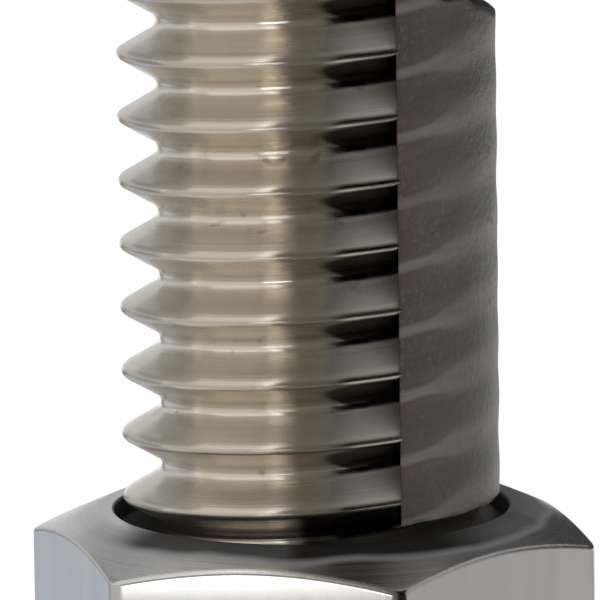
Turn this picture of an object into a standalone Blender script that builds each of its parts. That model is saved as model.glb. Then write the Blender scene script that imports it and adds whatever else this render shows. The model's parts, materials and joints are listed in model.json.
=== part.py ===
"""Hexagon adjusting screw with a metric thread and a bonded nylon locking patch.

The screw stands on the outer face of its head, with its axis along +Z and one flat of the
head facing -Y. Lengths are in metres. Angles are in degrees, anticlockwise from +X seen from
above, unless a name says otherwise.
"""

import math

import bmesh
import bpy
from mathutils import Matrix, Vector

# Thread, M6 x 1, right-hand. Its crest and root follow the pitch, as in the metric standard
PITCH = 0.001
CREST_DIAMETER = 0.0059
THREAD_LENGTH = 0.010
FLANK_ANGLE = 30.0
CREST_FLAT = PITCH / 8
ROOT_RADIUS = 0.144 * PITCH
TIP_CHAMFER = 0.0007
TIP_CHAMFER_ANGLE = 45.0
CREST_ABOVE_SEAT_AT_X = 0.00067

# Head. The seat is the flat ring between the recess and the chamfered corners
HEX_SIDES = 6
ACROSS_FLATS = 0.00788
BAR_CORNER_RADIUS = 0.00025
HEAD_HEIGHT = 0.004
CORNER_ANGLE = 27.0
OUTER_FACE_INSET = 0.00025
SEAT_WIDTH = 0.00025
RECESS_GAP = 0.00008
RECESS_DEPTH = 0.0003
RECESS_WALL_ANGLE = 75.0

# Locking patch, from just above the seat to a bare lead at the tip. Its side is a flat plane,
# square to PATCH_FACING, that leaves it PATCH_SPREAD degrees of the crests
PATCH_FACING = 13.0
PATCH_SPREAD = 125.0
PATCH_ABOVE_SEAT = 0.00022
PATCH_LEAST_LEAD = 0.001
PATCH_FILM = 0.00003
PATCH_CLEARANCE = 0.00001

# Faceting, shading and cutter overlaps
STEPS = 48
ROOT_POINTS = 4
CORNER_SEGMENTS = 3
OVERLAP = 0.0005
WELD = 0.000001
SHARP_ANGLE = 22.0

OBJECT_NAME = "adjusting_screw"
CUTTER_COLLECTION = "cutters"


def tangent(angle):
    return math.tan(math.radians(angle))


def about_z(degrees):
    return Matrix.Rotation(math.radians(degrees), 3, "Z")


def corner_radius():
    return ACROSS_FLATS / 2 / math.cos(math.pi / HEX_SIDES)


def recess_floor_radius():
    return CREST_DIAMETER / 2 + RECESS_GAP


def recess_rim_radius():
    return recess_floor_radius() + RECESS_DEPTH / tangent(RECESS_WALL_ANGLE)


def sharp_depth():
    """How far below the crests the flanks would meet if the root weren't round."""
    return (PITCH - CREST_FLAT) / 2 / tangent(FLANK_ANGLE)


def clear_scene():
    for item in list(bpy.data.objects):
        bpy.data.objects.remove(item, do_unlink=True)


def new_collection(name):
    collection = bpy.data.collections.new(name)
    bpy.context.scene.collection.children.link(collection)
    return collection


def new_material(name, colour, metallic, roughness):
    material = bpy.data.materials.new(name)
    material.use_nodes = True
    shader = material.node_tree.nodes["Principled BSDF"]
    shader.inputs["Base Color"].default_value = (*colour, 1.0)
    shader.inputs["Metallic"].default_value = metallic
    shader.inputs["Roughness"].default_value = roughness
    return material


def place(name, mesh, collection):
    item = bpy.data.objects.new(name, mesh)
    collection.objects.link(item)
    return item


def as_cutter(item):
    item.hide_render = True
    item.display_type = "WIRE"
    return item


def cut(item, tool, operation):
    modifier = item.modifiers.new(f"{operation.lower()}_{tool.name}", "BOOLEAN")
    modifier.operation = operation
    modifier.solver = "EXACT"
    modifier.object = tool


def merge_doubles(item):
    """Merges the doubled points that a cut leaves where two solids share their facets."""
    modifier = item.modifiers.new("weld", "WELD")
    modifier.merge_threshold = WELD


def add_screw(item, turns, rise):
    modifier = item.modifiers.new("sweep", "SCREW")
    modifier.axis = "Z"
    modifier.angle = math.tau
    modifier.steps = STEPS
    modifier.render_steps = STEPS
    modifier.iterations = turns
    modifier.screw_offset = rise
    modifier.use_merge_vertices = True
    modifier.merge_threshold = WELD


def turned(name, profile, collection):
    """A solid of revolution: profile lists (radius, height) from the axis at the top,
    down the outside, to the axis at the bottom."""
    mesh = bpy.data.meshes.new(name)
    points = [(radius, 0.0, height) for radius, height in profile]
    mesh.from_pydata(points, [(i, i + 1) for i in range(len(points) - 1)], [])
    item = place(name, mesh, collection)
    add_screw(item, 1, 0.0)
    return item


def groove_section(clearance):
    """Section of the thread groove as (radius, height) points about the groove's middle.

    The flanks lean by FLANK_ANGLE and touch a round root. clearance narrows the groove on
    every side, which thickens the thread that it leaves. The mouth stands a little outside
    the crests, and stays narrower than the pitch, so that its turns don't meet."""
    lean = math.radians(FLANK_ANGLE)
    crest = CREST_DIAMETER / 2
    root_centre = crest - sharp_depth() + ROOT_RADIUS / math.sin(lean)
    radius = ROOT_RADIUS - clearance
    mouth = crest + clearance + CREST_FLAT / 2
    sharp_root = crest - sharp_depth()
    half_width = (mouth - sharp_root) * math.tan(lean) - clearance / math.cos(lean)
    span = math.pi / 2 - lean
    turns = [span - 2 * span * i / (ROOT_POINTS - 1) for i in range(ROOT_POINTS)]
    root = [(root_centre - radius * math.cos(t), radius * math.sin(t)) for t in turns]
    return [(mouth, half_width)] + root + [(mouth, -half_width)]


def swept_groove(name, bottom, top, clearance, collection):
    """The groove's section carried up the helix, past both ends of the thread, and capped."""
    middle = HEAD_HEIGHT + CREST_ABOVE_SEAT_AT_X - PITCH / 2
    below = math.ceil((middle - bottom) / PITCH) + 1
    turns = below + math.ceil((top - middle) / PITCH) + 1
    start = middle - below * PITCH
    section = [(r, 0.0, start + h) for r, h in groove_section(clearance)]
    mesh = bpy.data.meshes.new(name)
    count = len(section)
    mesh.from_pydata(section, [(i, (i + 1) % count) for i in range(count)], [])
    guide = place(f"{name}_guide", mesh, collection)
    add_screw(guide, turns, PITCH)
    bpy.context.view_layer.update()
    swept = guide.evaluated_get(bpy.context.evaluated_depsgraph_get())
    solid = bpy.data.meshes.new_from_object(swept)
    bpy.data.objects.remove(guide, do_unlink=True)
    bm = bmesh.new()
    bm.from_mesh(solid)
    bmesh.ops.remove_doubles(bm, verts=bm.verts, dist=WELD)
    ends = [edge for edge in bm.edges if edge.is_boundary]
    bmesh.ops.holes_fill(bm, edges=ends, sides=count)
    bmesh.ops.recalc_face_normals(bm, faces=bm.faces)
    bm.to_mesh(solid)
    bm.free()
    return as_cutter(place(name, solid, collection))


def threaded_shank(name, clearance, collection):
    """The shank with its chamfered tip and its helical groove, thicker by clearance all
    over. It starts a pitch below the recess, inside the head."""
    bottom = HEAD_HEIGHT - RECESS_DEPTH - PITCH
    top = HEAD_HEIGHT + THREAD_LENGTH
    crest = CREST_DIAMETER / 2 + clearance
    tip = crest - TIP_CHAMFER
    shoulder = top - TIP_CHAMFER * tangent(TIP_CHAMFER_ANGLE)
    profile = [(0.0, top), (tip, top), (crest, shoulder), (crest, bottom), (0.0, bottom)]
    shank = as_cutter(turned(name, profile, collection))
    cut(shank, swept_groove(f"{name}_groove", bottom, top, clearance, collection), "DIFFERENCE")
    merge_doubles(shank)
    return shank


def head_chamfers(collection):
    """A double cone that trims the hexagon's corners on both of its faces."""
    reach = corner_radius() + OVERLAP
    seat = recess_rim_radius() + SEAT_WIDTH
    outer = ACROSS_FLATS / 2 - OUTER_FACE_INSET
    slope = tangent(CORNER_ANGLE)
    profile = [
        (0.0, HEAD_HEIGHT),
        (seat, HEAD_HEIGHT),
        (reach, HEAD_HEIGHT - (reach - seat) * slope),
        (reach, (reach - outer) * slope),
        (outer, 0.0),
        (0.0, 0.0),
    ]
    return as_cutter(turned("head_chamfers", profile, collection))


def head_recess(collection):
    """The turned recess round the thread, with a sloping wall and a flat floor."""
    floor = HEAD_HEIGHT - RECESS_DEPTH
    above = HEAD_HEIGHT + OVERLAP
    mouth = recess_rim_radius() + OVERLAP / tangent(RECESS_WALL_ANGLE)
    profile = [(0.0, above), (mouth, above), (recess_floor_radius(), floor), (0.0, floor)]
    return as_cutter(turned("head_recess", profile, collection))


def make_screw(parts, cutters):
    """The hexagon, trimmed and recessed, in one piece with the threaded shank."""
    bm = bmesh.new()
    corner = corner_radius()
    turn_at_corner = 360.0 / HEX_SIDES
    bmesh.ops.create_cone(bm, cap_ends=True, segments=HEX_SIDES, radius1=corner, radius2=corner,
                          depth=HEAD_HEIGHT + 2 * OVERLAP)
    bmesh.ops.rotate(bm, verts=bm.verts, matrix=about_z(turn_at_corner / 2))
    uprights = [e for e in bm.edges if e.verts[0].co.z * e.verts[1].co.z < 0.0]
    bmesh.ops.bevel(bm, geom=uprights, offset=BAR_CORNER_RADIUS * tangent(turn_at_corner / 2),
                    segments=CORNER_SEGMENTS, profile=0.5, affect="EDGES")
    bmesh.ops.translate(bm, verts=bm.verts, vec=(0.0, 0.0, HEAD_HEIGHT / 2))
    mesh = bpy.data.meshes.new("screw")
    bm.to_mesh(mesh)
    bm.free()
    screw = place("screw", mesh, parts)
    cut(screw, head_chamfers(cutters), "INTERSECT")
    cut(screw, head_recess(cutters), "DIFFERENCE")
    cut(screw, threaded_shank("shank", 0.0, cutters), "UNION")
    merge_doubles(screw)
    mesh.materials.append(new_material("bright_steel", (0.62, 0.58, 0.53), 1.0, 0.25))
    return screw


def patch_blank(collection):
    """The part of a plain cylinder that lies beyond the patch's flat side."""
    radius = CREST_DIAMETER / 2 + PATCH_FILM
    room = THREAD_LENGTH - PATCH_ABOVE_SEAT - PATCH_LEAST_LEAD
    length = math.floor(room / PITCH) * PITCH
    bm = bmesh.new()
    bmesh.ops.create_cone(bm, cap_ends=True, segments=STEPS, radius1=radius, radius2=radius,
                          depth=length)
    bmesh.ops.translate(bm, verts=bm.verts,
                        vec=(0.0, 0.0, HEAD_HEIGHT + PATCH_ABOVE_SEAT + length / 2))
    facing = about_z(PATCH_FACING) @ Vector((1.0, 0.0, 0.0))
    off_axis = CREST_DIAMETER / 2 * math.cos(math.radians(PATCH_SPREAD / 2))
    bmesh.ops.bisect_plane(bm, geom=[*bm.verts, *bm.edges, *bm.faces],
                           plane_co=facing * off_axis, plane_no=facing, clear_inner=True)
    bmesh.ops.holes_fill(bm, edges=[edge for edge in bm.edges if edge.is_boundary])
    bmesh.ops.recalc_face_normals(bm, faces=bm.faces)
    mesh = bpy.data.meshes.new("locking_patch")
    bm.to_mesh(mesh)
    bm.free()
    return place("locking_patch", mesh, collection)


def make_patch(parts, cutters):
    """Nylon that fills the groove on one side of the shank, and films over its crests.

    It covers a whole number of pitches, so that both of its ends meet the thread alike."""
    patch = patch_blank(parts)
    cut(patch, threaded_shank("patch_seat", PATCH_CLEARANCE, cutters), "DIFFERENCE")
    merge_doubles(patch)
    split = patch.modifiers.new("triangles", "TRIANGULATE")
    split.ngon_method = "BEAUTY"
    patch.data.materials.append(new_material("dark_nylon", (0.11, 0.085, 0.08), 0.0, 0.6))
    return patch


def smooth_by_angle():
    """A node group that shades a mesh smooth, but keeps its edges over SHARP_ANGLE crisp."""
    group = bpy.data.node_groups.new("smooth_by_angle", "GeometryNodeTree")
    group.interface.new_socket("Geometry", in_out="INPUT", socket_type="NodeSocketGeometry")
    group.interface.new_socket("Geometry", in_out="OUTPUT", socket_type="NodeSocketGeometry")
    start = group.nodes.new("NodeGroupInput")
    end = group.nodes.new("NodeGroupOutput")
    faces = group.nodes.new("GeometryNodeSetShadeSmooth")
    edges = group.nodes.new("GeometryNodeSetShadeSmooth")
    edges.domain = "EDGE"
    fold = group.nodes.new("GeometryNodeInputMeshEdgeAngle")
    gentle = group.nodes.new("FunctionNodeCompare")
    gentle.operation = "LESS_EQUAL"
    gentle.inputs["B"].default_value = math.radians(SHARP_ANGLE)
    group.links.new(start.outputs["Geometry"], faces.inputs["Geometry"])
    group.links.new(faces.outputs["Geometry"], edges.inputs["Geometry"])
    group.links.new(fold.outputs["Unsigned Angle"], gentle.inputs["A"])
    group.links.new(gentle.outputs["Result"], edges.inputs["Shade Smooth"])
    group.links.new(edges.outputs["Geometry"], end.inputs["Geometry"])
    return group


def shade(item, group):
    modifier = item.modifiers.new("shade", "NODES")
    modifier.node_group = group


clear_scene()
part_collection = new_collection(OBJECT_NAME)
cutter_collection = new_collection(CUTTER_COLLECTION)
shading = smooth_by_angle()
shade(make_screw(part_collection, cutter_collection), shading)
shade(make_patch(part_collection, cutter_collection), shading)
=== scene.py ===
import json
import math

import bmesh
import bpy
import numpy as np
from mathutils import Matrix, Vector


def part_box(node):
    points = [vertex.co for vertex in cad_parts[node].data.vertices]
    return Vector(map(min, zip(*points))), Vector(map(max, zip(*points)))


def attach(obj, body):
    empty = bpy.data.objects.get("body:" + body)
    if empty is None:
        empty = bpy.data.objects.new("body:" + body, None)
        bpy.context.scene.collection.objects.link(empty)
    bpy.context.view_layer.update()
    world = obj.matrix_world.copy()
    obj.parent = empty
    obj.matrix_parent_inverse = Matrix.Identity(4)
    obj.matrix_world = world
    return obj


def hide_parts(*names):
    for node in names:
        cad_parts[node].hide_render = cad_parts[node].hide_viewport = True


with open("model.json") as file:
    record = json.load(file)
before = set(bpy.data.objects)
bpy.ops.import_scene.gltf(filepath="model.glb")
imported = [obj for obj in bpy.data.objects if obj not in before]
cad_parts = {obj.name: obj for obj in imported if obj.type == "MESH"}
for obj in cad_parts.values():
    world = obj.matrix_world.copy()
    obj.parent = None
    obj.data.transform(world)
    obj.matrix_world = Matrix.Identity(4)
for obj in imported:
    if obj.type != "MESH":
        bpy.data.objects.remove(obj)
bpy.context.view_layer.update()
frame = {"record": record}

# The screw: hexagon head and M6 x 1 thread in one piece of bright steel. The hexagon is drawn bar
# with turned faces. The right-hand thread is rolled, and runs down into a turned recess in the head.

# Lengths are in millimetres up to the mesh, which is in metres.
METRE = 1000.0
mounts = {mount["name"]: mount for mount in frame["record"]["mounts"]}
HEAD_HEIGHT = METRE * mounts["head_seat"]["pos_m"][2]
TIP_HEIGHT = METRE * mounts["tip_face"]["pos_m"][2]


def soft_min(a, b, width):
    """The lower of a and b, with the crease between them rounded over width."""
    near = np.clip(1 - np.abs(a - b) / width, 0, 1)
    return np.minimum(a, b) - near ** 2 * width / 4


PITCH = 1.0
CREST_RADIUS = 2.95
CREST_FLAT = PITCH / 8
CREST_ROUND = 0.09
FLANK = math.radians(30)
ROOT_RADIUS = 0.144 * PITCH


def thread_radius(turns):
    """Radius of the rolled thread at a distance along the axis, in pitches, from a crest.

    The crest is flat, the flanks lean by 30 degrees, and the root is an arc that they touch."""
    off = np.abs(turns - np.round(turns)) * PITCH
    flank = CREST_RADIUS - (off - CREST_FLAT / 2) / math.tan(FLANK)
    sharp = CREST_RADIUS - (PITCH - CREST_FLAT) / 2 / math.tan(FLANK)
    middle = sharp + ROOT_RADIUS / math.sin(FLANK)
    to_root = PITCH / 2 - off
    arc = middle - np.sqrt(np.clip(ROOT_RADIUS ** 2 - to_root ** 2, 0, None))
    side = np.where(to_root < ROOT_RADIUS * math.cos(FLANK), arc, flank)
    return soft_min(np.full_like(side, CREST_RADIUS), side, CREST_ROUND)


CREST_ABOVE_SEAT_AT_X = 0.67
TIP_FACE_RADIUS = 2.25
TIP_ROUND = 0.05


def crest_height(azimuth):
    """Height of the first crest over the seat. It climbs by one pitch a turn, anticlockwise."""
    return HEAD_HEIGHT + CREST_ABOVE_SEAT_AT_X + PITCH * azimuth / math.tau


def shank_radius(azimuth, height):
    """Radius of the shank: the thread, trimmed by the 45 degree cone at its tip."""
    thread = thread_radius((height - crest_height(azimuth)) / PITCH)
    return soft_min(thread, TIP_FACE_RADIUS + TIP_HEIGHT - height, TIP_ROUND)


screw_low, screw_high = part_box("screw")
ACROSS_FLATS = METRE * (screw_high.y - screw_low.y)
ACROSS_CORNERS = METRE * (screw_high.x - screw_low.x)
SHARP_TO_FLAT = 1 / math.cos(math.pi / 6)
BAR_CORNER_RADIUS = (ACROSS_FLATS * SHARP_TO_FLAT - ACROSS_CORNERS) / (2 * SHARP_TO_FLAT - 2)


def hexagon_radius(azimuth):
    """Distance from the axis to the hexagon's outline, whose corners are small arcs."""
    side = math.pi / 3
    off_corner = np.abs((azimuth + side / 2) % side - side / 2)
    flat = ACROSS_FLATS / 2 / np.cos(side / 2 - off_corner)
    centre = (ACROSS_FLATS / 2 - BAR_CORNER_RADIUS) / math.cos(side / 2)
    arc = centre * np.cos(off_corner) + np.sqrt(
        np.clip(BAR_CORNER_RADIUS ** 2 - (centre * np.sin(off_corner)) ** 2, 0, None))
    touch = math.atan2(BAR_CORNER_RADIUS * math.sin(side / 2),
                       centre + BAR_CORNER_RADIUS * math.cos(side / 2))
    return np.where(off_corner < touch, arc, flat)


CURVE_ROWS = 8
ROWS_A_CORNER = CURVE_ROWS + 2
JUST_OUTSIDE = 1.3


def rounded_line(corners, rounds):
    """Rows of points along a line of corners. Each corner becomes a quadratic curve that starts
    and ends at its round's length from it, with one more row just outside either end.

    corners is corners x columns x 2, and rounds has one length for each inner corner."""
    rows = [corners[0]]
    steps = np.linspace(0, 1, CURVE_ROWS)[:, None, None]
    for before, corner, after, size in zip(corners, corners[1:], corners[2:], rounds):
        back = before - corner
        on = after - corner
        back = back / np.linalg.norm(back, axis=-1, keepdims=True)
        on = on / np.linalg.norm(on, axis=-1, keepdims=True)
        start, end = corner + size * back, corner + size * on
        curve = start * (1 - steps) ** 2 + 2 * corner * steps * (1 - steps) + end * steps ** 2
        outside = JUST_OUTSIDE * size
        rows += [corner + outside * back, *curve, corner + outside * on]
    rows.append(corners[-1])
    return np.array(rows)


def grid_cells(rows, columns):
    """The corners of each cell of a grid, as numbers of its points, which run row by row."""
    index = np.arange(rows * columns).reshape(rows, columns)
    cells = np.stack([index[:-1, :-1], index[:-1, 1:], index[1:, 1:], index[1:, :-1]], axis=-1)
    return cells.reshape(-1, 4)


SAME_PLACE = 1e-7
SHARP_EDGE = math.radians(40)


def grid_mesh(name, points, finish):
    """A closed mesh from points, a grid of rows x columns x 3 in millimetres.

    Each cell becomes a quad with the finish, a material's index, of its row. Points that fall
    together, at the poles and along the seam, are merged, and cells without area go."""
    rows, columns, _ = points.shape
    mesh = bpy.data.meshes.new(name)
    mesh.from_pydata(points.reshape(-1, 3) / METRE, [], grid_cells(rows, columns))
    mesh.polygons.foreach_set("material_index", np.repeat(finish, columns - 1).astype(np.int32))
    bm = bmesh.new()
    bm.from_mesh(mesh)
    bmesh.ops.remove_doubles(bm, verts=bm.verts, dist=SAME_PLACE)
    bmesh.ops.recalc_face_normals(bm, faces=bm.faces)
    bm.to_mesh(mesh)
    bm.free()
    mesh.shade_smooth()
    mesh.set_sharp_from_angle(angle=SHARP_EDGE)
    piece = bpy.data.objects.new(name, mesh)
    bpy.context.scene.collection.objects.link(piece)
    return piece


def column_azimuths():
    """Azimuths of the columns, all the way round, close together at the hexagon's corners."""
    off = np.array([0, 0.4, 0.8, 1.2, 1.6, 2.1, 3, 4.5, 6.5, 8.5,
                    11, 13.5, 16, 18.5, 21, 23.5, 26, 28])
    sector = np.concatenate([off, [30], 60 - off[:0:-1]])
    turn = (sector[None, :] + 60 * np.arange(6)[:, None]).ravel()
    return np.radians(np.append(turn, 360))


CORNER_SLOPE = math.tan(math.radians(24))
OUTER_FACE_RADIUS = 3.69
SEAT_RADIUS = 3.36
RECESS_RIM_RADIUS = 3.11
RECESS_FLOOR_RADIUS = 3.03
RECESS_DEPTH = 0.3
RECESS_FLOOR_HEIGHT = HEAD_HEIGHT - RECESS_DEPTH
OUTER_FACE_ROUND, LOWER_CORNER_ROUND, UPPER_CORNER_ROUND = 0.05, 0.09, 0.07
SEAT_ROUND, RECESS_RIM_ROUND, RECESS_FLOOR_ROUND = 0.08, 0.035, 0.02


def head_rows(azimuth):
    """Rows of (radius, height) from the middle of the outer face, up the hexagon's side, over the
    corner cone and the seat, and down into the recess to the foot of the thread."""
    outline = hexagon_radius(azimuth)
    one = np.ones_like(azimuth)
    floor = RECESS_FLOOR_HEIGHT * one
    corners = [
        (0 * one, 0 * one),
        (OUTER_FACE_RADIUS * one, 0 * one),
        (outline, (outline - OUTER_FACE_RADIUS) * CORNER_SLOPE),
        (outline, HEAD_HEIGHT - (outline - SEAT_RADIUS) * CORNER_SLOPE),
        (SEAT_RADIUS * one, HEAD_HEIGHT * one),
        (RECESS_RIM_RADIUS * one, HEAD_HEIGHT * one),
        (RECESS_FLOOR_RADIUS * one, floor),
        (shank_radius(azimuth, floor), floor),
    ]
    rounds = (OUTER_FACE_ROUND, LOWER_CORNER_ROUND, UPPER_CORNER_ROUND,
              SEAT_ROUND, RECESS_RIM_ROUND, RECESS_FLOOR_ROUND)
    return rounded_line(np.stack([np.stack(corner, -1) for corner in corners]), rounds)


ROWS_A_PITCH = 24


def rows_up_the_helix(azimuth, lowest, highest):
    """Heights of rows that climb with the helix, all the way from lowest to highest. Each keeps
    its place on the thread's profile, a whole number of steps from the first crest."""
    first = math.floor((lowest - crest_height(azimuth[-1])) / PITCH)
    last = math.ceil((highest - crest_height(azimuth[0])) / PITCH)
    turns = np.arange(first * ROWS_A_PITCH, last * ROWS_A_PITCH + 1)[:, None] / ROWS_A_PITCH
    return np.clip(crest_height(azimuth) + PITCH * turns, lowest, highest)


def shank_rows(azimuth):
    """Rows of (radius, height) up the helix, which stop at the recess floor and at the tip face,
    whose middle ends the grid."""
    height = rows_up_the_helix(azimuth, RECESS_FLOOR_HEIGHT, TIP_HEIGHT)
    radius = shank_radius(azimuth[None, :], height)
    middle = np.zeros_like(radius[:1])
    return np.concatenate([np.stack([radius, height], -1),
                           np.stack([middle, middle + TIP_HEIGHT], -1)])


def turned_points(azimuth, rows):
    """Carries rows of (radius, height) round the axis, one column for each azimuth."""
    radius, height = rows[..., 0], rows[..., 1]
    return np.stack([radius * np.cos(azimuth), radius * np.sin(azimuth), height], -1)


azimuths = column_azimuths()
head = head_rows(azimuths)
shank = shank_rows(azimuths)

# The rows of the bar's own side run between the middles of its two rounded corners.
ROLLED, TURNED, DRAWN = 0, 1, 2
FIRST_SIDE_ROW = 1 + ROWS_A_CORNER + ROWS_A_CORNER // 2
LAST_SIDE_ROW = FIRST_SIDE_ROW + ROWS_A_CORNER - 1
finish_of_row = np.full(len(head) + len(shank) - 1, ROLLED)
finish_of_row[:len(head)] = TURNED
finish_of_row[FIRST_SIDE_ROW:LAST_SIDE_ROW] = DRAWN
screw_rows = np.concatenate([head, shank])
screw = grid_mesh("screw_body", turned_points(azimuths, screw_rows), finish_of_row)


def add_node(tree, kind, settings=None, **inputs):
    """Adds a node, sets its own properties, and fills its inputs by name or by number, each from
    an output of another node or with a plain value."""
    made = tree.nodes.new(kind)
    for key, value in (settings or {}).items():
        setattr(made, key, value)
    for key, value in inputs.items():
        socket = made.inputs[int(key[1:])] if key[0] == "_" and key[1:].isdigit() else made.inputs[key]
        if isinstance(value, bpy.types.NodeSocket):
            tree.links.new(value, socket)
        else:
            socket.default_value = value
    return made


def math_node(tree, operation, *values):
    """The result of one sum, such as a product, a cosine or the larger of two values."""
    inputs = {f"_{k}": value for k, value in enumerate(values)}
    return add_node(tree, "ShaderNodeMath", {"operation": operation}, **inputs).outputs[0]


def product(tree, first, *others):
    """All the values multiplied."""
    for other in others:
        first = math_node(tree, "MULTIPLY", first, other)
    return first


def combined(tree, *parts):
    """A vector of two or three values."""
    inputs = {f"_{k}": part for k, part in enumerate(parts)}
    return add_node(tree, "ShaderNodeCombineXYZ", {}, **inputs).outputs[0]


def mixed(tree, factor, a, b):
    """The colour a where factor is 0, b where it is 1, and their mix in between."""
    mix = add_node(tree, "ShaderNodeMix", {"data_type": "RGBA"}, _0=factor, _6=a, _7=b)
    return mix.outputs[2]


def ranged(tree, value, low, high, to_low=0.0, to_high=1.0, smooth=True):
    """to_low where value is low, to_high where it is high, held beyond them. In between it goes
    evenly, or eased at both ends where smooth."""
    settings = {"interpolation_type": "SMOOTHSTEP" if smooth else "LINEAR"}
    return add_node(tree, "ShaderNodeMapRange", settings, _0=value, _1=low, _2=high,
                    _3=to_low, _4=to_high).outputs[0]


def by_azimuth(tree, azimuth, low, high, to_low=0.0, to_high=1.0, smooth=True):
    """ranged over an azimuth, whose low and high are given in degrees."""
    return ranged(tree, azimuth, math.radians(low), math.radians(high), to_low, to_high, smooth)


def new_group(name, takes, gives):
    """A shader node group with named inputs and outputs, and its two end nodes."""
    group = bpy.data.node_groups.new(name, "ShaderNodeTree")
    for label, kind, value in takes:
        socket = group.interface.new_socket(label, in_out="INPUT", socket_type=kind)
        if value is not None:
            socket.default_value = value
    for label, kind in gives:
        group.interface.new_socket(label, in_out="OUTPUT", socket_type=kind)
    return group, group.nodes.new("NodeGroupInput"), group.nodes.new("NodeGroupOutput")


def fine_marks_group():
    """Marks that a tool leaves: noise that is fine across the marks and slow along them, mixed
    with broad bands where the tool cut more or less. Marks is both and Worn is the bands alone,
    each as a mask from 0 to 1."""
    group, start, end = new_group(
        "fine_marks",
        [("Across", "NodeSocketVector", None), ("Along", "NodeSocketFloat", 0.0),
         ("Bands", "NodeSocketFloat", 0.3)],
        [("Marks", "NodeSocketFloat"), ("Worn", "NodeSocketFloat")])
    fine = add_node(group, "ShaderNodeTexNoise", {"noise_dimensions": "4D"}, Scale=1.0, Detail=3.0,
                    Roughness=0.6, Vector=start.outputs["Across"], W=start.outputs["Along"])
    wide = add_node(group, "ShaderNodeVectorMath", {"operation": "SCALE"},
                    _0=start.outputs["Across"], Scale=0.15)
    broad = add_node(group, "ShaderNodeTexNoise", {"noise_dimensions": "4D"}, Scale=1.0, Detail=1.0,
                     Roughness=0.5, Vector=wide.outputs[0], W=start.outputs["Along"])
    both = add_node(group, "ShaderNodeMix", {"data_type": "FLOAT"}, _0=start.outputs["Bands"],
                    _2=fine.outputs["Fac"], _3=broad.outputs["Fac"])
    group.links.new(ranged(group, both.outputs[0], 0.3, 0.7), end.inputs["Marks"])
    group.links.new(ranged(group, broad.outputs["Fac"], 0.35, 0.65), end.inputs["Worn"])
    return group


def specks_group():
    """Small dark or light specks, as a mask: the parts of a fine noise that are higher than an
    edge, which falls as the share grows, with a slow noise that gathers them."""
    group, start, end = new_group(
        "specks",
        [("Place", "NodeSocketVector", None), ("A millimetre", "NodeSocketFloat", 6.0),
         ("Share", "NodeSocketFloat", 0.3)],
        [("Mask", "NodeSocketFloat")])
    fine = add_node(group, "ShaderNodeTexNoise", {}, Scale=start.outputs["A millimetre"], Detail=2.0,
                    Roughness=0.6, Vector=start.outputs["Place"])
    slow = add_node(group, "ShaderNodeTexNoise", {}, Scale=0.7, Detail=1.0, Roughness=0.5,
                    Vector=start.outputs["Place"])
    level = math_node(group, "ADD", fine.outputs["Fac"],
                      math_node(group, "MULTIPLY_ADD", slow.outputs["Fac"], 0.4, -0.2))
    edge = math_node(group, "SUBTRACT", 0.75, product(group, start.outputs["Share"], 0.5))
    mask = ranged(group, level, edge, math_node(group, "ADD", edge, 0.12))
    group.links.new(mask, end.inputs["Mask"])
    return group


fine_marks = fine_marks_group()
specks = specks_group()


def marks_at(tree, across, along, bands):
    """The marks, fine over the vector across and slow over the value along."""
    return add_node(tree, "ShaderNodeGroup", {"node_tree": fine_marks},
                    Across=across, Along=along, Bands=bands)


def specks_at(tree, spot, a_millimetre, share):
    """The mask of the specks, so many a millimetre, over about that share of the surface."""
    inputs = {"Place": spot, "A millimetre": a_millimetre, "Share": share}
    return add_node(tree, "ShaderNodeGroup", {"node_tree": specks}, **inputs).outputs["Mask"]


def place_in_mm(tree):
    """Object coordinates in millimetres, as one vector and as height, radius and azimuth."""
    spot = add_node(tree, "ShaderNodeTexCoord").outputs["Object"]
    spot = add_node(tree, "ShaderNodeVectorMath", {"operation": "SCALE"}, _0=spot, Scale=METRE)
    spot = spot.outputs[0]
    x, y, height = add_node(tree, "ShaderNodeSeparateXYZ", _0=spot).outputs
    radius = math_node(tree, "SQRT", math_node(tree, "ADD", product(tree, x, x),
                                               product(tree, y, y)))
    return spot, height, radius, math_node(tree, "ARCTAN2", y, x)


def thread_phase(tree, height, azimuth):
    """The angle on the thread's profile: a turn for each pitch up the axis, less the azimuth."""
    return math_node(tree, "SUBTRACT", product(tree, height, math.tau / PITCH), azimuth)


def cosine_from(tree, phase, pitches_up):
    """The cosine of the phase, counted from so many pitches above a crest."""
    zero = math.tau * (CREST_ABOVE_SEAT_AT_X + pitches_up)
    return math_node(tree, "COSINE", math_node(tree, "ADD", phase, -zero))


def unrolled(tree, phase, size, third):
    """A place on the thread's profile, unrolled on a circle of this size, and a third value."""
    return combined(tree, product(tree, math_node(tree, "COSINE", phase), size),
                    product(tree, math_node(tree, "SINE", phase), size), third)


def new_steel(name, roughness, anisotropic, rotation):
    """A metal whose fine marks stretch its highlights. Rotation 0 stretches them round the axis,
    and a quarter turn stretches them along it."""
    material = bpy.data.materials.new(name)
    material.use_nodes = True
    tree = material.node_tree
    shader = tree.nodes["Principled BSDF"]
    shader.inputs["Metallic"].default_value = 1.0
    shader.inputs["Roughness"].default_value = roughness
    shader.inputs["Anisotropic"].default_value = anisotropic
    shader.inputs["Anisotropic Rotation"].default_value = rotation
    tangent = add_node(tree, "ShaderNodeTangent", {"direction_type": "RADIAL", "axis": "Z"})
    tree.links.new(tangent.outputs["Tangent"], shader.inputs["Tangent"])
    return material, tree, shader


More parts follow.
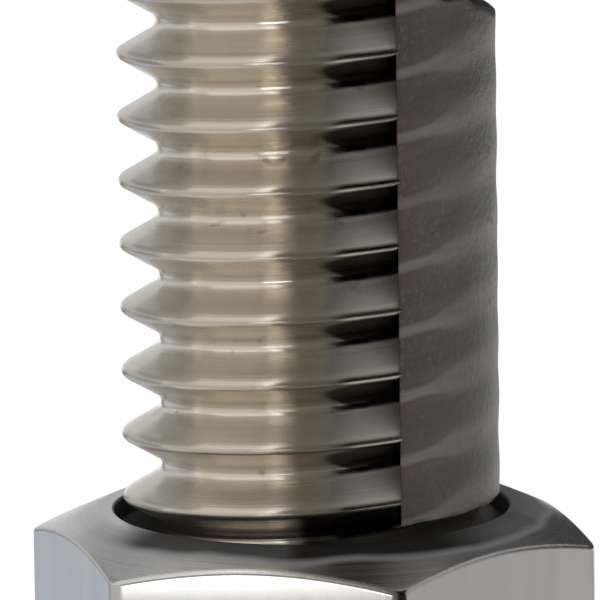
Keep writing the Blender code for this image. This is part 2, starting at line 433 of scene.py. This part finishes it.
def give_marks(tree, shader, across, along, bands, lift, base, worn, smooth, coarse):
    """Raises the surface by the marks, as far as lift in millimetres. Gives back the colour, which
    they change between base and worn, and the roughness, between smooth and coarse."""
    marks = marks_at(tree, across, along, bands)
    colour = mixed(tree, marks.outputs["Worn"], base, worn)
    rough = ranged(tree, marks.outputs["Marks"], 0.0, 1.0, smooth, coarse, smooth=False)
    bump = add_node(tree, "ShaderNodeBump", {}, Height=marks.outputs["Marks"],
                    Distance=lift / METRE, Strength=1.0)
    tree.links.new(bump.outputs["Normal"], shader.inputs["Normal"])
    return colour, rough


def rolled_thread():
    """The dies leave fine lines along the helix. They keep their place on the thread's profile:
    the profile is unrolled on a circle, whose angle is the phase between two crests. The crests
    are painted a little darker and the root brighter, as painted reflections, and oil has dried
    in the root in specks. By the patch, a pale film of dust dulls the flanks that face up, and
    painted shade, which narrows to a point, covers those that face down. The foot of the thread
    is painted dark there too, as shade."""
    base, worn = (0.58, 0.525, 0.45, 1), (0.66, 0.605, 0.53, 1)
    crest_painted_darker, root_painted_brighter = (0.50, 0.455, 0.395, 1), (0.76, 0.70, 0.62, 1)
    dried_oil, painted_shade_black = (0.30, 0.25, 0.19, 1), (0.02, 0.016, 0.012, 1)
    marks_round, marks_out = 3.0, 14.0
    dust_by_patch, dust_elsewhere, flank_middle = 0.48, 0.12, 0.24
    wedge_tip_middle, wedge_shift, wedge_growth, wedge_least = 0.19, 0.115, 1.25, 0.98
    foot_height, foot_blur = 0.42, 0.08
    material, tree, shader = new_steel("rolled_thread", 0.2, 0.85, 0.25)
    spot, height, radius, azimuth = place_in_mm(tree)
    phase = thread_phase(tree, height, azimuth)
    across = unrolled(tree, phase, marks_round, product(tree, radius, marks_out))
    along = math_node(tree, "ADD", product(tree, height, 0.9),
                      product(tree, math_node(tree, "SINE", azimuth), 0.35))
    colour, rough = give_marks(tree, shader, across, along, bands=0.35, lift=0.004,
                               base=base, worn=worn, smooth=0.19, coarse=0.29)

    # Painted reflections: the crests are painted darker and the root brighter, as the studio shows in
    # them.
    crest = ranged(tree, radius, CREST_RADIUS - 0.1, CREST_RADIUS, 0.0, 0.6)
    colour = mixed(tree, crest, colour, crest_painted_darker)
    root = ranged(tree, radius, CREST_RADIUS - 0.5, CREST_RADIUS - 0.6, 0.0, 0.7)
    colour = mixed(tree, root, colour, root_painted_brighter)
    oil_and_painted_shade = specks_at(tree, spot, a_millimetre=3.5, share=0.22)
    deep = ranged(tree, radius, CREST_RADIUS - 0.2, CREST_RADIUS - 0.6, 0.15, 0.55)
    colour = mixed(tree, product(tree, oil_and_painted_shade, deep), colour, dried_oil)

    below_tip = ranged(tree, height, TIP_HEIGHT - 0.8, TIP_HEIGHT - 1.3)
    before_far_side = by_azimuth(tree, azimuth, 85, 65)
    by_patch = product(tree, by_azimuth(tree, azimuth, -79, -57), before_far_side, below_tip)
    facing_up = ranged(tree, cosine_from(tree, phase, flank_middle), 0.15, 0.6)
    dust = product(tree, facing_up, math_node(tree, "MULTIPLY_ADD", by_patch, dust_by_patch,
                                              product(tree, below_tip, dust_elsewhere)))
    tree.links.new(math_node(tree, "SUBTRACT", 1.0, dust), shader.inputs["Metallic"])

    # Painted shade: a dark wedge, narrowing to a point, on the flanks that face down beside the patch.
    below_crest = math_node(tree, "ADD", phase, math_node(
        tree, "MULTIPLY_ADD", by_patch, math.tau * wedge_shift,
        -math.tau * (CREST_ABOVE_SEAT_AT_X - wedge_tip_middle)))
    wedge = math_node(tree, "ADD", math_node(tree, "COSINE", below_crest),
                      math_node(tree, "MULTIPLY_ADD", by_patch, wedge_growth, -wedge_least))
    # Painted shade: the foot of the thread beside the patch is painted dark, as shade from the recess.
    foot_top = HEAD_HEIGHT + foot_height
    foot = product(tree, ranged(tree, height, foot_top, foot_top - foot_blur),
                   by_azimuth(tree, azimuth, -84, -78, 0.0, 0.85), before_far_side)
    painted_shade = math_node(tree, "MAXIMUM", ranged(tree, wedge, 0.0, 0.46, 0.0, 0.97), foot)
    colour = mixed(tree, painted_shade, colour, painted_shade_black)
    tree.links.new(colour, shader.inputs["Base Color"])
    tree.links.new(rough, shader.inputs["Roughness"])
    return material


def turned_faces():
    """Fine rings from the lathe, round the axis, on the seat, the cones, the recess and the
    outer face. Painted shade lies as a dark, matt coat in the recess and on the seat, most of all
    on its front and right. Its outer edge is uneven."""
    base, worn = (0.50, 0.50, 0.51, 1), (0.57, 0.57, 0.57, 1)
    shade_black, shade_roughness = (0.008, 0.007, 0.005, 1), 0.9
    material, tree, shader = new_steel("turned_faces", 0.25, 0.6, 0.25)
    shader.inputs["Specular IOR Level"].default_value = 0.0
    spot, height, radius, azimuth = place_in_mm(tree)
    rings, shade_past_seat, shade_uneven, shade_blur = 11.0, 0.18, 0.3, 0.14
    across = combined(tree, product(tree, radius, rings), product(tree, height, rings))
    along = product(tree, math_node(tree, "SINE", azimuth), 0.3)
    colour, rough = give_marks(tree, shader, across, along, bands=0.3, lift=0.003,
                               base=base, worn=worn, smooth=0.22, coarse=0.32)

    uneven = add_node(tree, "ShaderNodeTexNoise", {}, Vector=spot, Scale=0.8, Detail=1.5,
                      Roughness=0.5).outputs["Fac"]
    # Painted shade: a dark, matt coat in the recess and on the seat next to the shank, most of all on
    # the front and right.
    shade_edge = math_node(tree, "MULTIPLY_ADD", uneven, shade_uneven, SEAT_RADIUS + shade_past_seat)
    near_shank = ranged(tree, math_node(tree, "SUBTRACT", radius, shade_edge), shade_blur, -shade_blur)
    shaded_side = math.radians(-42)
    turned = math_node(tree, "COSINE", math_node(tree, "SUBTRACT", azimuth, shaded_side))
    by_side = math_node(tree, "MAXIMUM", ranged(tree, turned, -0.15, 0.15, 0.1, 0.88),
                        ranged(tree, turned, 0.5, 0.8, 0.0, 0.98))
    less_on_right = by_azimuth(tree, azimuth, -45, -15, 1.0, 0.8)
    on_seat = product(tree, near_shank, by_side, less_on_right)
    in_recess = product(tree, ranged(tree, height, HEAD_HEIGHT, HEAD_HEIGHT - 0.05, 0.0, 0.9),
                        ranged(tree, radius, RECESS_RIM_RADIUS + 0.08, RECESS_RIM_RADIUS + 0.04))
    upper_half = ranged(tree, height, HEAD_HEIGHT / 2, HEAD_HEIGHT / 2 + 0.1)
    oil_and_painted_shade = product(tree, math_node(tree, "MAXIMUM", on_seat, in_recess), upper_half)
    colour = mixed(tree, oil_and_painted_shade, colour, shade_black)
    rough = add_node(tree, "ShaderNodeMix", {"data_type": "FLOAT"}, _0=oil_and_painted_shade, _2=rough,
                     _3=shade_roughness).outputs[0]
    tree.links.new(colour, shader.inputs["Base Color"])
    tree.links.new(math_node(tree, "SUBTRACT", 1.0, oil_and_painted_shade), shader.inputs["Metallic"])
    tree.links.new(rough, shader.inputs["Roughness"])
    return material


def drawn_flats():
    """Straight lines along the bar, from the die that it was drawn through."""
    base, worn = (0.53, 0.53, 0.54, 1), (0.58, 0.57, 0.565, 1)
    material, tree, shader = new_steel("drawn_flats", 0.2, 0.8, 0.0)
    spot, height, _, _ = place_in_mm(tree)
    lines = 9.0
    across = add_node(tree, "ShaderNodeVectorMath", {"operation": "MULTIPLY"}, _0=spot,
                      _1=(lines, lines, 0.0)).outputs[0]
    along = product(tree, height, 0.12)
    colour, rough = give_marks(tree, shader, across, along, bands=0.45, lift=0.0015,
                               base=base, worn=worn, smooth=0.15, coarse=0.20)
    tree.links.new(colour, shader.inputs["Base Color"])
    tree.links.new(rough, shader.inputs["Roughness"])
    return material


for steel in (rolled_thread(), turned_faces(), drawn_flats()):
    screw.data.materials.append(steel)
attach(screw, "root")
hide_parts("screw")

# The locking patch: dark nylon, melted on to one side of the thread. It fills the grooves up to
# the crests and ends at a flat, upright side. Its far end slants, and both of its ends thin out.

patch_low, patch_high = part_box("locking_patch")
LIP_DEPTH = 0.11
PATCH_BOTTOM = METRE * patch_low.z - LIP_DEPTH
PATCH_TOP = METRE * patch_high.z
PATCH_FACING = math.radians(13)
PATCH_HALF_SPREAD = math.radians(62.5)
PATCH_RADIUS = CREST_RADIUS + 0.006
PATCH_SAG = 0.012
PATCH_EDGE_WIDTH = 0.06
PATCH_EDGE_DROP = 0.02
UNDER_STEEL = 0.006
BARE_ABOVE = 0.5
FAR_END_BELOW_TOP = 0.216
FAR_END_SLANT = 0.62
FAR_END_FADE = 0.3
NEAR_END_FADE = 0.1
NEAR_END_RAGGED = 0.3


def patch_end_cover(turned, height):
    """The patch's share of its depth, from 0 at its ends to 1. turned is the azimuth from the
    patch's middle. The far end slants, and both have a slightly ragged line."""
    ragged = 0.05 * np.sin(9 * turned) + 0.03 * np.sin(23 * turned + 2)
    far_end = PATCH_TOP - FAR_END_BELOW_TOP - FAR_END_SLANT * turned + ragged
    near_end = PATCH_BOTTOM + NEAR_END_RAGGED * np.abs(ragged)
    to_far_end = np.clip((far_end - height) / FAR_END_FADE, 0, 1)
    to_near_end = np.clip((height - near_end) / NEAR_END_FADE, 0, 1)
    rise = np.minimum(to_far_end, np.sqrt(to_near_end * (2 - to_near_end)))
    return rise ** 2 * (3 - 2 * rise)


def patch_points(azimuth):
    """A closed skin over the thread. Its inner side lies just inside the steel, or on the flat
    side of the patch where that is further out. Its outer side stands off by the patch's cover
    times the room up to its face, which sags a little between the crests and is rounded off
    towards the flat side."""
    height = rows_up_the_helix(azimuth, PATCH_BOTTOM, PATCH_TOP + BARE_ABOVE)
    around = np.broadcast_to(azimuth, height.shape)
    turned = around - PATCH_FACING
    phase = math.tau * (height - crest_height(around)) / PITCH
    steel = shank_radius(around, height) - UNDER_STEEL
    flat_side = CREST_RADIUS * math.cos(PATCH_HALF_SPREAD) / np.cos(turned)
    inner = np.maximum(steel, flat_side)
    wave = 0.003 * np.sin(7 * around + 3.1 * height) + 0.002 * np.sin(17 * around - 4.7 * height)
    face = PATCH_RADIUS + wave - PATCH_SAG * (1 - np.cos(phase)) / 2
    to_side = CREST_RADIUS * (PATCH_HALF_SPREAD - np.abs(turned)) / PATCH_EDGE_WIDTH
    face = face - PATCH_EDGE_DROP * np.sqrt(np.clip(1 - to_side, 0, 1)) ** 3
    depth = np.maximum(face - inner, 0)
    outer = inner + patch_end_cover(turned, height) * depth
    radius = np.concatenate([outer, inner[:, ::-1]], axis=1)
    around = np.concatenate([around, around[:, ::-1]], axis=1)
    height = np.concatenate([height, height[:, ::-1]], axis=1)
    return np.stack([radius * np.cos(around), radius * np.sin(around), height], -1)


# The columns stand close together in the last 10 degrees before either side.
by_the_side = PATCH_HALF_SPREAD - np.linspace(0, 1, 16) ** 1.5 * math.radians(10)
middle_columns = np.radians(np.linspace(-51.5, 51.5, 58))
patch_azimuths = PATCH_FACING + np.concatenate([-by_the_side, middle_columns, by_the_side[::-1]])
skin = patch_points(patch_azimuths)
patch = grid_mesh("nylon_patch", skin, np.zeros(len(skin) - 1))


def melted_nylon():
    """Powder that melted into a matt, slightly grainy skin. It is redder by its left side and greyer
    by its middle. A pale painted highlight lies below each crest and fades to the right, with
    painted shade between the highlights. Its flat side face is painted nearly black, as shade."""
    grey, red = (0.100, 0.094, 0.088, 1), (0.120, 0.076, 0.068, 1)
    painted_highlight_pale, painted_shade_between_dark = (0.27, 0.225, 0.20, 1), (0.048, 0.047, 0.040, 1)
    smear_dark = (0.048, 0.042, 0.036, 1)
    speck_pale, painted_side_shade = (0.16, 0.15, 0.14, 1), (0.018, 0.011, 0.009, 1)
    smears_round, smears_sideways, specks_a_mm, skin_rise = 0.8, 2.5, 11.0, 0.02
    material = bpy.data.materials.new("melted_nylon")
    material.use_nodes = True
    tree = material.node_tree
    shader = tree.nodes["Principled BSDF"]
    spot, height, radius, azimuth = place_in_mm(tree)
    colour = mixed(tree, by_azimuth(tree, azimuth, -22, -50), grey, red)

    phase = thread_phase(tree, height, azimuth)
    # Painted highlight: a pale band below each crest, where the skin bulges up towards the light,
    # fading to the right.
    below_crest = by_azimuth(tree, azimuth, -49, -15, 0.36, 0.19, smooth=False)
    streak_phase = math_node(tree, "MULTIPLY_ADD", below_crest, -math.tau,
                             math.tau * CREST_ABOVE_SEAT_AT_X)
    on_streak = math_node(tree, "COSINE", math_node(tree, "SUBTRACT", phase, streak_phase))
    streak_edge = by_azimuth(tree, azimuth, -40, -20, 0.75, -0.7)
    streak = product(tree, ranged(tree, on_streak, streak_edge, 1.0),
                     by_azimuth(tree, azimuth, -40, -20, 1.0, 0.45))
    across = unrolled(tree, phase, smears_round, product(tree, azimuth, smears_sideways))
    smears = marks_at(tree, across, along=product(tree, height, 0.5), bands=0.5)
    patchy = ranged(tree, smears.outputs["Worn"], 0.1, 0.8, 0.4, 1.0)
    colour = mixed(tree, product(tree, streak, patchy), colour, painted_highlight_pale)
    # Painted shade between the painted highlights.
    painted_shade_between = product(tree, ranged(tree, on_streak, 0.4, -1.0),
                         by_azimuth(tree, azimuth, -46, -30, 0.15, 0.5))
    colour = mixed(tree, painted_shade_between, colour, painted_shade_between_dark)
    colour = mixed(tree, product(tree, smears.outputs["Marks"], 0.6), colour, smear_dark)

    grain = specks_at(tree, spot, specks_a_mm, share=0.35)
    colour = mixed(tree, product(tree, grain, 0.35), colour, speck_pale)
    # Painted shade: the flat side face of the patch is painted nearly black.
    side_face_shade = ranged(tree, radius, CREST_RADIUS - 0.05, CREST_RADIUS - 0.15, 0.0, 0.85)
    colour = mixed(tree, side_face_shade, colour, painted_side_shade)
    tree.links.new(colour, shader.inputs["Base Color"])
    tree.links.new(ranged(tree, grain, 0.0, 1.0, 0.42, 0.6), shader.inputs["Roughness"])
    rough_skin = add_node(tree, "ShaderNodeTexNoise", {}, Vector=spot, Scale=9.0, Detail=4.0,
                          Roughness=0.6)
    bump = add_node(tree, "ShaderNodeBump", {}, Height=rough_skin.outputs["Fac"],
                    Distance=skin_rise / METRE, Strength=1.0)
    tree.links.new(bump.outputs["Normal"], shader.inputs["Normal"])
    return material


patch.data.materials.append(melted_nylon())
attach(patch, "root")
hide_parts("locking_patch")

# The camera: a long lens, 13 degrees to the right of the middle of a flat and 10 degrees above
# the screw, held a little off level. It aims a little to the left of the screw's axis.

SIDE = math.radians(12.8)
RISE = math.radians(9.84)
ROLL = math.radians(0.75)
FAR = 130.0
PIXELS_A_MM = 64.03
PICTURE_SIZE = 600
AIM_HEIGHT = 7.261
PIXELS_LEFT_OF_AXIS = 9.0
camera_data = bpy.data.cameras.new("camera")
camera = bpy.data.objects.new("camera", camera_data)
bpy.context.scene.collection.objects.link(camera)
back = Vector((math.sin(SIDE) * math.cos(RISE), -math.cos(SIDE) * math.cos(RISE), math.sin(RISE)))
right = Vector((math.cos(SIDE), math.sin(SIDE), 0))
up = back.cross(right)
aim = Vector((0, 0, AIM_HEIGHT)) - right * (PIXELS_LEFT_OF_AXIS / PIXELS_A_MM)
leaning_right = right * math.cos(ROLL) - up * math.sin(ROLL)
leaning_up = up * math.cos(ROLL) + right * math.sin(ROLL)
camera.matrix_world = Matrix.Translation((aim + back * FAR) / METRE) @ Matrix(
    (leaning_right, leaning_up, back)).transposed().to_4x4()
camera_data.sensor_width = 36
camera_data.lens = camera_data.sensor_width * PIXELS_A_MM * FAR / PICTURE_SIZE
camera_data.clip_start = 0.01
camera_data.clip_end = 10
bpy.context.scene.camera = camera

# The studio: a white floor and a white surround, with cards of paper round the screw. Only its
# reflections show the cards, as bands up the bright steel. They cast no shadow and light nothing.

level_right = np.array(right)
toward = np.array([math.sin(SIDE), -math.cos(SIDE), 0.0])
overhead = np.array([0.0, 0.0, 1.0])
to_camera = np.array(back)


def level_way(azimuth):
    """The level direction at an azimuth, which is counted from the camera to the right."""
    return np.cos(azimuth) * toward + np.sin(azimuth) * level_right


def by_rows(ends, count):
    """Values from one end to the other, one for each row of a grid of points."""
    return np.linspace(*ends, count)[:, None, None]


def by_columns(ends, count):
    """Values from one end to the other, one for each column of a grid of points."""
    return np.linspace(*ends, count)[None, :, None]


def glowing_paper(name, colour, strength):
    """A material that only glows, with this colour and strength."""
    material = bpy.data.materials.new(name)
    material.use_nodes = True
    tree = material.node_tree
    tree.nodes.clear()
    glow = add_node(tree, "ShaderNodeEmission", {}, Color=(*colour, 1), Strength=strength)
    add_node(tree, "ShaderNodeOutputMaterial", {}, Surface=glow.outputs["Emission"])
    return material


def stage_card(name, points, colour, strength):
    """Puts a grid of points, in millimetres, into the scene as a card for reflections only."""
    rows, columns, _ = points.shape
    mesh = bpy.data.meshes.new(name)
    mesh.from_pydata(points.reshape(-1, 3) / METRE, [], grid_cells(rows, columns))
    mesh.materials.append(glowing_paper(name, colour, strength))
    card = bpy.data.objects.new(name, mesh)
    bpy.context.scene.collection.objects.link(card)
    card.visible_camera = False
    card.visible_diffuse = False
    card.visible_shadow = False


CURVED_STEPS, STRAIGHT_STEPS, STRIP_STEPS = 25, 9, 5
MIDDLE_OF_SHANK = 8.0
OFF_THE_FLOOR, RING_HEIGHT, STRIP_HEIGHT = 0.05, 0.1, 0.15


def mirrored_card(name, side, tilt, colour, strength, distance=70.0):
    """A card where the shank mirrors it to the camera: between two azimuths on the shank, from
    the camera to the right, and between two tilts of its surface, from upright to facing up.

    The mirrored direction is twice the camera's part along the normal, less the camera's. The
    card lies that way at its distance from the shank, or on the floor if that is nearer."""
    level = level_way(np.radians(by_columns(side, CURVED_STEPS)))
    lean = np.radians(by_rows(tilt, CURVED_STEPS))
    normal = np.cos(lean) * level + np.sin(lean) * overhead
    way = 2 * (normal @ to_camera)[..., None] * normal - to_camera
    start = CREST_RADIUS * level + MIDDLE_OF_SHANK * overhead
    floor_at = (start[..., 2:] - OFF_THE_FLOOR) / np.maximum(-way[..., 2:], 1e-6)
    reach = np.where(way[..., 2:] < 0, np.minimum(floor_at, distance), distance)
    stage_card(name, start + reach * way, colour, strength)


def standing_card(name, around, rise, colour, strength, distance=72.0):
    """Part of a sphere round the seat, between two azimuths, from the camera to the right, and
    two elevations."""
    level = level_way(np.radians(by_columns(around, CURVED_STEPS)))
    climb = np.radians(by_rows(rise, STRAIGHT_STEPS))
    points = distance * (np.cos(climb) * level + np.sin(climb) * overhead)
    stage_card(name, points + HEAD_HEIGHT * overhead, colour, strength)


def floor_ring(name, around, reach, colour, strength):
    """Part of a ring on the floor, between two azimuths and two distances from the axis."""
    level = level_way(np.radians(by_columns(around, CURVED_STEPS)))
    distance = by_rows(reach, STRAIGHT_STEPS)
    stage_card(name, distance * level + RING_HEIGHT * overhead, colour, strength)


def floor_strip(name, flat, half_width, reach, colour, strength):
    """A strip on the floor that one flat of the head mirrors. The flat's azimuth is counted from
    the camera to the right, and the strip leaves the flat at twice that azimuth."""
    flat = math.radians(flat)
    way = level_way(2 * flat)
    across = level_way(2 * flat + math.pi / 2)
    distance = by_rows(reach, STRAIGHT_STEPS)
    sideways = by_columns((-half_width, half_width), STRIP_STEPS)
    middle = ACROSS_FLATS / 2 * level_way(flat) + distance * way + STRIP_HEIGHT * overhead
    stage_card(name, middle + sideways * across, colour, strength)


WARM, CREAM, BROWN = (1.0, 0.97, 0.92), (1.0, 0.99, 0.95), (1.0, 0.93, 0.82)
PLAIN, ROSE, COOL = (1.0, 1.0, 1.0), (1.0, 0.97, 0.94), (0.90, 0.95, 1.04)
mirrored_card("card_far_left", (-82, -56), (-25, 50), PLAIN, 0.38, 71.0)
mirrored_card("card_left_high", (-56, -41), (22, 50), PLAIN, 0.44, 72.0)
mirrored_card("card_bright", (-56, -19.5), (-25, 10), WARM, 0.74, 73.0)
mirrored_card("card_bright_low", (-19.5, -11.5), (-25, 10), WARM, 0.50, 73.2)
mirrored_card("card_left_low", (-56, -41), (10, 22), WARM, 0.78, 73.5)
mirrored_card("card_bright_high", (-41, -11.5), (10, 52), WARM, 1.0, 74.0)
mirrored_card("strip_left", (-51, -48.7), (-12, 15), WARM, 1.15, 69.0)
mirrored_card("strip_middle", (-15.8, -12.6), (12, 48), WARM, 2.0, 69.5)
mirrored_card("card_brown", (-11.5, 8), (-14, 50), BROWN, 0.16, 74.5)
mirrored_card("card_black", (8, 33), (-14, 42), BROWN, 0.0, 75.0)
mirrored_card("roof_left", (-38, -11.5), (52, 66), WARM, 0.60, 76.0)
mirrored_card("roof_front", (-11.5, 8), (50, 66), WARM, 0.30, 76.5)
mirrored_card("roof_right", (8, 33), (42, 66), WARM, 0.35, 77.0)
mirrored_card("card_right", (33, 62), (-25, 44), WARM, 0.5, 78.0)
mirrored_card("card_back_right", (33, 100), (46, 76), PLAIN, 0.08, 79.0)
mirrored_card("card_back_left", (-100, -60), (50, 80), PLAIN, 0.52, 79.5)
mirrored_card("card_back_cone", (-60, -38), (62, 80), PLAIN, 0.54, 79.7)
mirrored_card("card_back_flank", (-60, -38), (50, 62), PLAIN, 0.26, 79.9)
standing_card("behind_right", (95, 178.5), (0, 26), PLAIN, 0.06)
standing_card("behind_left", (180.5, 260), (0, 20), PLAIN, 0.70)
floor_ring("near_left", (-165, -99), (4.6, 45), PLAIN, 0.31)
floor_ring("near_front", (-22, 24), (4.6, 14), BROWN, 0.24)
floor_ring("near_right", (24, 84), (4.6, 13), WARM, 0.9)
floor_strip("floor_front", -12.8, 4.2, (16, 25), CREAM, 4.2)
floor_strip("floor_right", 47.2, 6.0, (5, 45), ROSE, 0.60)
floor_strip("floor_left", -72.8, 6.0, (5, 45), COOL, 0.71)

FLOOR_HALF_WIDTH = 2000.0
unit_square = np.array([(-1, -1, 0), (1, -1, 0), (1, 1, 0), (-1, 1, 0)])
floor_corners = FLOOR_HALF_WIDTH / METRE * unit_square
floor_mesh = bpy.data.meshes.new("floor")
floor_mesh.from_pydata(floor_corners, [], [(0, 1, 2, 3)])
floor = bpy.data.objects.new("floor", floor_mesh)
bpy.context.scene.collection.objects.link(floor)


def shown_ray(tree):
    """1 for a ray that shows the background: from the camera, or by way of a reflection or of
    something clear."""
    path = add_node(tree, "ShaderNodeLightPath")
    camera_ray, glossy_ray = path.outputs["Is Camera Ray"], path.outputs["Is Glossy Ray"]
    mirrored = math_node(tree, "MAXIMUM", camera_ray, glossy_ray)
    return math_node(tree, "MAXIMUM", mirrored, path.outputs["Is Transmission Ray"])


PAPER_WHITE = 0.85
PAPER_GLOW = 0.45
LIGHT_OF_SURROUND = 0.7


def white_floor():
    """White paper that keeps the shadow, and glows by nearly half where the background is shown."""
    material = bpy.data.materials.new("white_floor")
    material.use_nodes = True
    tree = material.node_tree
    shader = tree.nodes["Principled BSDF"]
    shader.inputs["Base Color"].default_value = (PAPER_WHITE, PAPER_WHITE, PAPER_WHITE, 1)
    shader.inputs["Roughness"].default_value = 0.9
    shader.inputs["Specular IOR Level"].default_value = 0.0
    shader.inputs["Emission Color"].default_value = (1, 1, 1, 1)
    glow = product(tree, shown_ray(tree), PAPER_GLOW)
    tree.links.new(glow, shader.inputs["Emission Strength"])
    return material


def white_surround():
    """A white world: at full strength where it is seen, and softer as the light on the object."""
    world = bpy.data.worlds.new("studio")
    world.use_nodes = True
    tree = world.node_tree
    light = tree.nodes["Background"]
    light.inputs["Color"].default_value = (1, 1, 1, 1)
    strength = math_node(tree, "MULTIPLY_ADD", shown_ray(tree), 1 - LIGHT_OF_SURROUND,
                         LIGHT_OF_SURROUND)
    tree.links.new(strength, light.inputs["Strength"])
    return world


floor_mesh.materials.append(white_floor())
bpy.context.scene.world = white_surround()

bpy.context.scene.view_settings.view_transform = "Standard"
